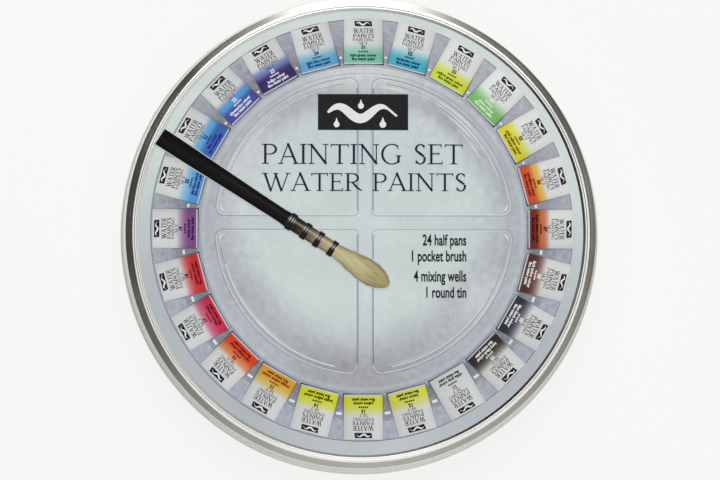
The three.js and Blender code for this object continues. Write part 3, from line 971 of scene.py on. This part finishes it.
def picture_title():
    """Plaque, title and the small lines of text."""
    centre_x, centre_y, half_w, half_h = 0.7, 50.4, 18.9, 7.55
    plaque = rectangle(centre_x - half_w, centre_y - half_h, centre_x + half_w, centre_y + half_h)
    marks = [shift(brush_mark(29, 9.0), 0.4, 50.2), drop(-0.2, 53.0, 1.25),
             drop(-10.4, 45.2, 1.25), drop(9.0, 45.2, 1.4)]
    lines = [shift(serif_line("PAINTING SET", 84.4, 8.3), 0.5, 28.6),
             shift(serif_line("WATER PAINTS", 85.7, 7.4), 1.4, 17.3)]
    small = [shift(plain_text(text, 4.7, 0.60, 0.02, False, 5), 43.9, baseline)
             for text, baseline in (("24 half pans", -5.4), ("1 pocket brush", -12.1),
                                    ("4 mixing wells", -20.5), ("1 round tin", -27.3))]
    for name, shape, material, level in (
            ("plaque", flat(plaque), BLACK_INK, 5), ("plaque_mark", join(marks), WHITE_INK, 6),
            ("title", join(lines), NAVY_INK, 6), ("small_text", join(small), BLACK_INK, 6)):
        picture_piece("lid_" + name, shape, material, level)


picture_grid()
picture_lines()
picture_gaps()
groove_painted_shade()
picture_pans()
picture_brush()
picture_title()

# ---- tray ----

DECK_EDGE = 69.0
CHANNEL_EDGE = 90.6
CHANNEL_FLOOR = TRAY_FOOT + 0.8
RIB_TOP = 7.0
WELL_FLOOR = 2.9
RIDGE_TOP = 8.0


def rib_height(x, y, r):
    """Height of the channel floor, with a wedge-shaped rib between each two pans."""
    step = 2 * pi / PAN_COUNT
    angle = atan2(y, x) - pi / 2 + step / 2
    off = abs((angle + step / 2) % step - step / 2) * r
    half = 0.6 + 2.0 * (r - 73.5) / 17.1
    rise = (1 - smoothstep(half * 0.55, half, off)) * smoothstep(73.0, 74.2, r)
    return CHANNEL_FLOOR + (RIB_TOP - CHANNEL_FLOOR) * rise


def tray_height(x, y):
    r = hypot(x, y)
    if r > DECK_EDGE:
        floor = rib_height(x, y, r)
        wall = max(1 - smoothstep(DECK_EDGE + 0.05, DECK_EDGE + 0.75, r),
                   smoothstep(CHANNEL_EDGE - 0.7, CHANNEL_EDGE, r))
        top = DECK_TOP - 0.35 * smoothstep(TRAY_RADIUS - 0.5, TRAY_RADIUS, r)
        return floor + (top - floor) * wall
    depth = soft_min([abs(x) - CROSS_HALF, abs(y) - CROSS_HALF, WELL_EDGE - r], 1.0)
    ridge = RIDGE_TOP + (DECK_TOP - RIDGE_TOP) * smoothstep(WELL_EDGE - 6, WELL_EDGE + 0.5, r)
    if depth < -0.8:
        return ridge
    wall = smoothstep(-0.8, 0.5, depth) * 0.16 + smoothstep(0.0, 5.2, depth) * 0.84
    bowl = WELL_FLOOR + 0.3 * smoothstep(8, 34, hypot(abs(x) - 28, abs(y) - 28))
    return ridge + (bowl - ridge) * wall


def build_tray():
    radii, spokes = [0.0], 576
    for end, step in ((54, 1.0), (64, 0.4), (68.8, 0.8), (70, 0.15), (89.8, 0.9),
                      (CHANNEL_EDGE + 0.1, 0.15), (TRAY_RADIUS, 0.55)):
        first = radii[-1]
        count = max(1, round((end - first) / step))
        radii += [first + (end - first) * (i + 1) / count for i in range(count)]
    vertices, faces = disc(radii[1:], spokes, tray_height)
    for z in (DECK_TOP - 1.2, TRAY_FOOT):
        start = len(vertices)
        vertices += [(*polar(TRAY_RADIUS, 2 * pi * j / spokes), z) for j in range(spokes)]
        faces += bridge(start - spokes, start, spokes)
    tray = make_object("tray_moulding", vertices, faces, TRAY_PLASTIC, "tray", "tray_plastic",
                       smooth=60)
    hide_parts("pan_tray")


# ---- pans in their wrappers ----

SLEEVE_GAP = 0.05
SLEEVE_SHEET = 0.12
SLEEVE_LENGTH = PAN_LENGTH - 0.9
SLEEVE_TOP = PAN_TOP + SLEEVE_GAP + SLEEVE_SHEET
CUP_TAPER = 0.93


def sleeve_section(grow):
    """Outline of a sleeve across the pan, as (across, height), grown outward from the cup."""
    top = PAN_WIDTH / 2 + grow
    low = PAN_WIDTH / 2 * CUP_TAPER + grow
    z0, z1, fillet = PAN_FOOT - grow, PAN_TOP + grow, 0.7
    side = [(top - fillet + fillet * sin(a), z1 - fillet + fillet * cos(a))
            for a in (0.5, 1.05, 1.5)]
    side += [(low + (top - low) * 0.5, (z0 + z1) / 2), (low + 0.02, z0 + fillet),
             (low - fillet * 0.3, z0 + fillet * 0.3), (low - fillet, z0)]
    crest = [(-top + fillet + (2 * top - 2 * fillet) * i / 8, z1) for i in range(9)]
    return crest + side + [(-x, z) for x, z in reversed(side)]


def build_wrappers():
    """A paper sleeve round every pan, open at its two ends, with its printing."""
    rows, half = 26, SLEEVE_LENGTH / 2
    for index in range(PAN_COUNT):
        number = f"{index + 1:02d}"
        angle = pan_angle(index)
        placing = (angle - pi / 2, polar(PAN_RING_RADIUS, angle))
        vertices, tones, faces = [], [], []
        for skin, grow in enumerate((SLEEVE_GAP + SLEEVE_SHEET, SLEEVE_GAP)):
            section = sleeve_section(grow)
            count = len(section)
            base = len(vertices)
            for j in range(rows + 1):
                for x, z in section:
                    vertices.append((x, half - SLEEVE_LENGTH * j / rows, z))
                    # the outer skin takes label_tone, so its darker long edges and +x side are
                    # painted shade here
                    tones.append(srgb(228, 228, 224) if skin else
                                 label_tone(index, j / rows, x / (PAN_WIDTH / 2)))
            for start in range(base, base + rows * count, count):
                for a, b, c, d in bridge(start, start + count, count):
                    faces.append([b, c, d, a] if skin else [a, d, c, b])
        inner, last = (rows + 1) * count, rows * count
        for i in range(count):
            k = (i + 1) % count
            faces += [[i, inner + i, inner + k, k],
                      [last + i, last + k, inner + last + k, inner + last + i]]
        piece = make_object("wrapper_" + number, *moved((vertices, faces), *placing), PAPER,
                            "pan_" + number, "wrapper_paper", smooth=40)
        tint_vertices(piece, tones)
        art = label_art(index, SLEEVE_LENGTH)
        for kind, material in (("dark", BLACK_INK), ("grey", GREY_INK), ("white", WHITE_INK),
                               ("name", PRINT_DEEP)):
            shape = shift(moved(join(art[kind]), *placing), 0, 0, SLEEVE_TOP + 0.012)
            piece = make_object(f"wrapper_{number}_{kind}", *shape, material,
                                "pan_" + number, "wrapper_paper")
            if kind == "name":
                tint_vertices(piece, [NAME_COLOURS[index]] * len(shape[0]))


# ---- pocket brush ----

BRUSH_Z = (HANDLE_LOW.z + HANDLE_HIGH.z) / 2
BRUSH_START = -BRUSH_LENGTH / 2


def brush_place(s, across, up):
    """A point of the brush by its distance from the butt and its offsets from the axis."""
    x, y = turn((BRUSH_START + s, across), BRUSH_ANGLE)
    return (x, y, BRUSH_Z + up)


def tube(path, radii, sides):
    """Tube through points given as (s, across, up), placed on the brush."""
    vertices, faces = [], []
    for n, (s, *centre) in enumerate(path):
        vertices += [brush_place(s, *polar(radii[n], 2 * pi * i / sides, centre))
                     for i in range(sides)]
        if n:
            faces += bridge((n - 1) * sides, n * sides, sides)
    return vertices, faces


def turned(profile, sides):
    """Surface of revolution about the brush's axis; the profile is [(s, radius), ...]."""
    return tube([(s, 0, 0) for s, _ in profile], [radius for _, radius in profile], sides)


def brush_along(v):
    """Distance of a vertex from the butt, in millimetres."""
    x, y = turn((v.x, v.y), -BRUSH_ANGLE)
    return x - BRUSH_START


def tinted(name, rough, streak, bump, specular):
    """A natural material whose colour comes with the mesh, with streaks along the brush."""
    grain = (streak, 4, 0.65, (0.06, 1, 1))
    return surface(name, ((200, 2), *rough), tints=((grain, 0.78, 1.2),),
                   bump=(grain, bump, 0.0002), rotation=(0, 0, -BRUSH_ANGLE),
                   Specular_IOR_Level=specular)


def brush_piece(name, shape, material, slot, smooth, replaced=None):
    piece = make_object(name, *shape, material, "brush", slot, smooth=smooth)
    if replaced:
        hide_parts(replaced)
    return piece


def build_brush():
    handle = [(0.0, 0.01), (0.05, 1.6), (0.25, 2.7), (0.7, 3.35), (1.4, 3.65), (2.6, 3.74),
              (12, 3.70), (30, 3.52), (48, 3.24), (58, 3.04), (60.6, 2.98), (61.0, 2.9),
              (61.1, 2.4), (72.5, 2.4), (72.9, 2.0), (73.0, 0.01)]
    lacquer = surface("black_lacquer", ((140, 4, 0.65), 0.14, 0.3),
                      ((300, 4, 0.6), (0.006, 0.006, 0.007), (0.013, 0.012, 0.012), 0.75),
                      bump=((60, 3), 0.08, 0.0002), Coat_Weight=0.4, Coat_Roughness=0.08)
    brush_piece("brush_handle_turned", turned(handle, 48), lacquer, "black_lacquer", 35,
                "brush_handle")

    quill = [(61.35, 2.75), (61.3, 2.95), (61.5, 3.16), (63, 3.2), (66, 3.14), (72, 3.12),
             (76, 3.06), (80, 3.02), (84, 2.96), (87.6, 2.9), (88.0, 2.84), (88.0, 2.6)]
    piece = brush_piece("brush_quill_tube", turned(quill, 40),
                        tinted("quill", (0.12, 0.25), 500, 0.05, 0.6), "quill", 35, "brush_quill")
    paint(piece, lambda v: mix(srgb(40, 33, 27), srgb(172, 158, 118),
                               smoothstep(70, 80, brush_along(v))))

    wire = surface("binding_wire", ((300, 3), 0.22, 0.4),
                   ((500, 3, 0.6), (0.16, 0.14, 0.12), (0.42, 0.39, 0.34), 0.75), Metallic=1.0)
    tube_radius, strand_radius, knot = 0.27, 0.13, polar(3.72, 2.1)
    for n, centre in enumerate(BANDS):
        shapes = [turned(sweep((centre + offset, 3.12 + tube_radius), tube_radius, 0, 360, 10), 40)
                  for offset in (-0.72, -0.2, 0.32)]
        for strand in (0, pi):
            path = []
            for i in range(13):
                x, y = polar(0.16, strand + i / 12 * 4 * pi)
                path.append((centre - 0.5 + 1.6 * i / 12 + x, knot[0] + y, knot[1]))
            shapes.append(tube(path, [strand_radius] * 13, 5))
        brush_piece(f"binding_band_{n + 1}", join(shapes), wire, "binding_wire", 60,
                    f"binding_wire_{n + 1}")
    build_hair()


def hair_radius(s):
    """Radius of the bundle of hair."""
    return min(brush_half_width(s), 5.1)


def build_hair():
    """The tuft: a solid core with single hairs laid over it."""
    rng = random.Random(5)
    fine = tinted("goat_hair", (0.45, 0.6), 900, 0.5, 0.3)
    along = [86.6 + 26.6 * i / 60 for i in range(61)]
    core = [(86.6, 0.02)] + [(s, hair_radius(s) * 0.955) for s in along] + [(113.4, 0.02)]
    vertices, faces = turned(core, 64)
    rippled = []
    for x, y, z in vertices:
        wave = 1 + 0.012 * ripple(brush_along(Vector((x, y, z))) * 0.05, y * 2.2, z * 2.2)
        rippled.append((x, y, BRUSH_Z + (z - BRUSH_Z) * wave))
    piece = brush_piece("brush_tuft_core", (rippled, faces), fine, "goat_hair", 80, "brush_hair")
    paint(piece, lambda v: mix(srgb(176, 164, 122), srgb(150, 136, 94),
                               smoothstep(98, 113, brush_along(v))))

    strands, tints = [], []
    for _ in range(HAIR_COUNT):
        around = rng.uniform(0, 2 * pi)
        depth = rng.uniform(0.93, 0.995)
        end = min(113.9, 106.5 + rng.random() ** 0.6 * 7.3)
        start = rng.uniform(86.4, 90)
        drift = rng.uniform(-0.12, 0.12)
        path, radii = [], []
        for i in range(11):
            t = i / 10
            s = start + (end - start) * t
            angle = around + drift * t * t + 0.015 * sin(9 * t + around * 5)
            path.append((s, *polar(hair_radius(s) * depth * (1 - 0.03 * t), angle)))
            radii.append(0.095 * (1 - 0.75 * t ** 3))
        strands.append(tube(path, radii, 4))
        tone = mix(srgb(206, 196, 154), srgb(150, 136, 92), rng.random() ** 1.4)
        tints += [tone] * len(strands[-1][0])
    tint_vertices(brush_piece("brush_tuft_hairs", join(strands), fine, "goat_hair", 80), tints)


# ---- materials of the CAD nodes that stay ----


def cake_material(name, colour):
    """Dry watercolour: matt, a little uneven and finely pitted."""
    return surface(name, ((260, 3), 0.5, 0.8), ((180, 5, 0.65), scaled(colour, 0.72), colour, 0.7),
                   bump=((240, 5, 0.7), 0.35, 0.0002))


def dress_nodes():
    for index, colour in enumerate(LABEL_COLOURS):
        number = f"{index + 1:02d}"
        for node, material in ((f"pan_cup_{number}", CUP_PLASTIC),
                               (f"paint_cake_{number}", cake_material(f"paint_{number}", colour))):
            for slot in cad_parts[node].material_slots:
                slot.material = material


build_tray()
build_wrappers()
build_brush()
dress_nodes()

# ---- stage ----


def build_stage():
    size = 30.0
    mesh = bpy.data.meshes.new("floor")
    mesh.from_pydata([(x, y, 0) for x, y in rectangle(-size, -size, size, size)],
                     [], [(0, 1, 2, 3)])
    mesh.materials.append(surface(
        "floor_paper", tones=((3, 2), (0.155, 0.155, 0.153), (0.165, 0.165, 0.163), 0.7),
        Roughness=0.9, Specular_IOR_Level=0.0, Emission_Color=(0.772, 0.79, 0.768, 1),
        Emission_Strength=1.0))
    floor = place_object("floor", mesh)
    floor.location.z = -0.0002


# brightness of the walls round the set, by direction in degrees, and for the tin's reflections
# also the sine of the height at which they end and the white ceiling starts
WALLS = ((-180, 0.05), (-152, 0.15), (-128, 0.33), (-105, 0.48), (-62, 0.46), (-35, 0.30),
         (-8, 0.17), (25, 0.12), (62, 0.12), (67, 1.6), (114, 1.6), (121, 0.17), (138, 0.065),
         (180, 0.05))
MIRRORED_WALLS = ((-180, 0.05), (-152, 0.15), (-128, 0.33), (-105, 0.48), (-62, 0.46),
                  (-35, 0.30), (-8, 0.17), (25, 0.12), (56, 0.11), (68, 0.30), (77, 1.6),
                  (104, 1.6), (111, 0.30), (118, 0.17), (130, 0.07), (150, 0.05), (180, 0.05))
MIRRORED_TOPS = ((-180, 0.99), (-150, 0.93), (-135, 0.82), (-105, 0.66), (-60, 0.62),
                 (-42, 0.64), (-20, 0.78), (0, 0.86), (45, 0.95), (110, 0.95), (135, 0.985),
                 (180, 0.99))


def build_world():
    """Soft surroundings: white above, with darker walls low down at the sides."""
    world = bpy.data.worlds.new("studio")
    bpy.context.scene.world = world
    nodes = Nodes(world)
    nodes.tree.nodes.clear()
    split = nodes.add("SeparateXYZ", {0: nodes.add("TexCoord").outputs["Generated"]})
    azimuth = nodes.add("Math", {0: split.outputs["Y"], 1: split.outputs["X"]},
                        operation="ARCTAN2")
    around = nodes.add("MapRange", {"Value": azimuth.outputs[0], "From Min": -pi, "From Max": pi})

    def by_direction(stops, warmth):
        return nodes.ramp(around.outputs["Result"],
                          [((direction + 180) / 360, (level, level, level * warmth))
                           for direction, level in stops])

    def background(colour, strength):
        return nodes.add("Background", {"Color": colour, "Strength": strength}).outputs[0]

    def surroundings(walls, low, high):
        """Walls below and white above; low and high are the ends of the soft edge."""
        height = nodes.add("MapRange", {"Value": split.outputs["Z"], "From Min": low,
                                        "From Max": high}, interpolation_type="SMOOTHSTEP")
        blend = nodes.add("Mix", {"Factor": height.outputs["Result"], "B": (1, 1, 1, 1),
                                  "A": by_direction(walls, 0.95)}, data_type="RGBA")
        return background(blend.outputs["Result"], 1.04)

    def choose(ray, otherwise, chosen):
        return nodes.add("MixShader", {"Fac": path.outputs[ray], 1: otherwise,
                                       2: chosen}).outputs[0]

    path = nodes.add("LightPath")
    edge = by_direction(MIRRORED_TOPS, 1.0)
    low, high = (nodes.add("Math", {0: edge, 1: raised}, operation="ADD").outputs[0]
                 for raised in (-0.07, 0.03))
    lighting = choose("Is Glossy Ray", surroundings(WALLS, 0.55, 0.8),
                      surroundings(MIRRORED_WALLS, low, high))
    backdrop = background((0.93, 0.945, 0.925, 1), 1.0)
    nodes.add("OutputWorld", {"Surface": choose("Is Camera Ray", lighting, backdrop)})


def area_light(name, place, target, size, power):
    light = bpy.data.lights.new(name, "AREA")
    light.shape = "DISK"
    light.size = size
    light.energy = power
    lamp = place_object(name, light)
    lamp.location = place
    lamp.rotation_euler = (Vector(target) - Vector(place)).to_track_quat("-Z", "Y").to_euler()


def build_camera():
    """Almost straight down on the lid, from a little to its lower left."""
    distance, view_width, sensor = 1.25, 0.2984, 36
    aim = Vector((-0.0006, -0.0033, LID_TOP * MM))
    camera = bpy.data.cameras.new("camera")
    camera.sensor_width = sensor
    camera.lens = sensor * distance / view_width
    camera.clip_end = 100
    rig = place_object("camera", camera)
    rig.location = aim + Vector((-0.041, -0.068, distance))
    back = (rig.location - aim).normalized()
    right = Vector((0, 1, 0)).cross(back).normalized()
    up = back.cross(right)
    rig.rotation_euler = Matrix((right, up, back)).transposed().to_euler()
    bpy.context.scene.camera = rig


build_stage()
build_world()
area_light("key", (0.0, 1.0, 1.6), (0, 0, 0), 1.4, 9)
build_camera()
bpy.context.scene.view_settings.view_transform = "Standard"
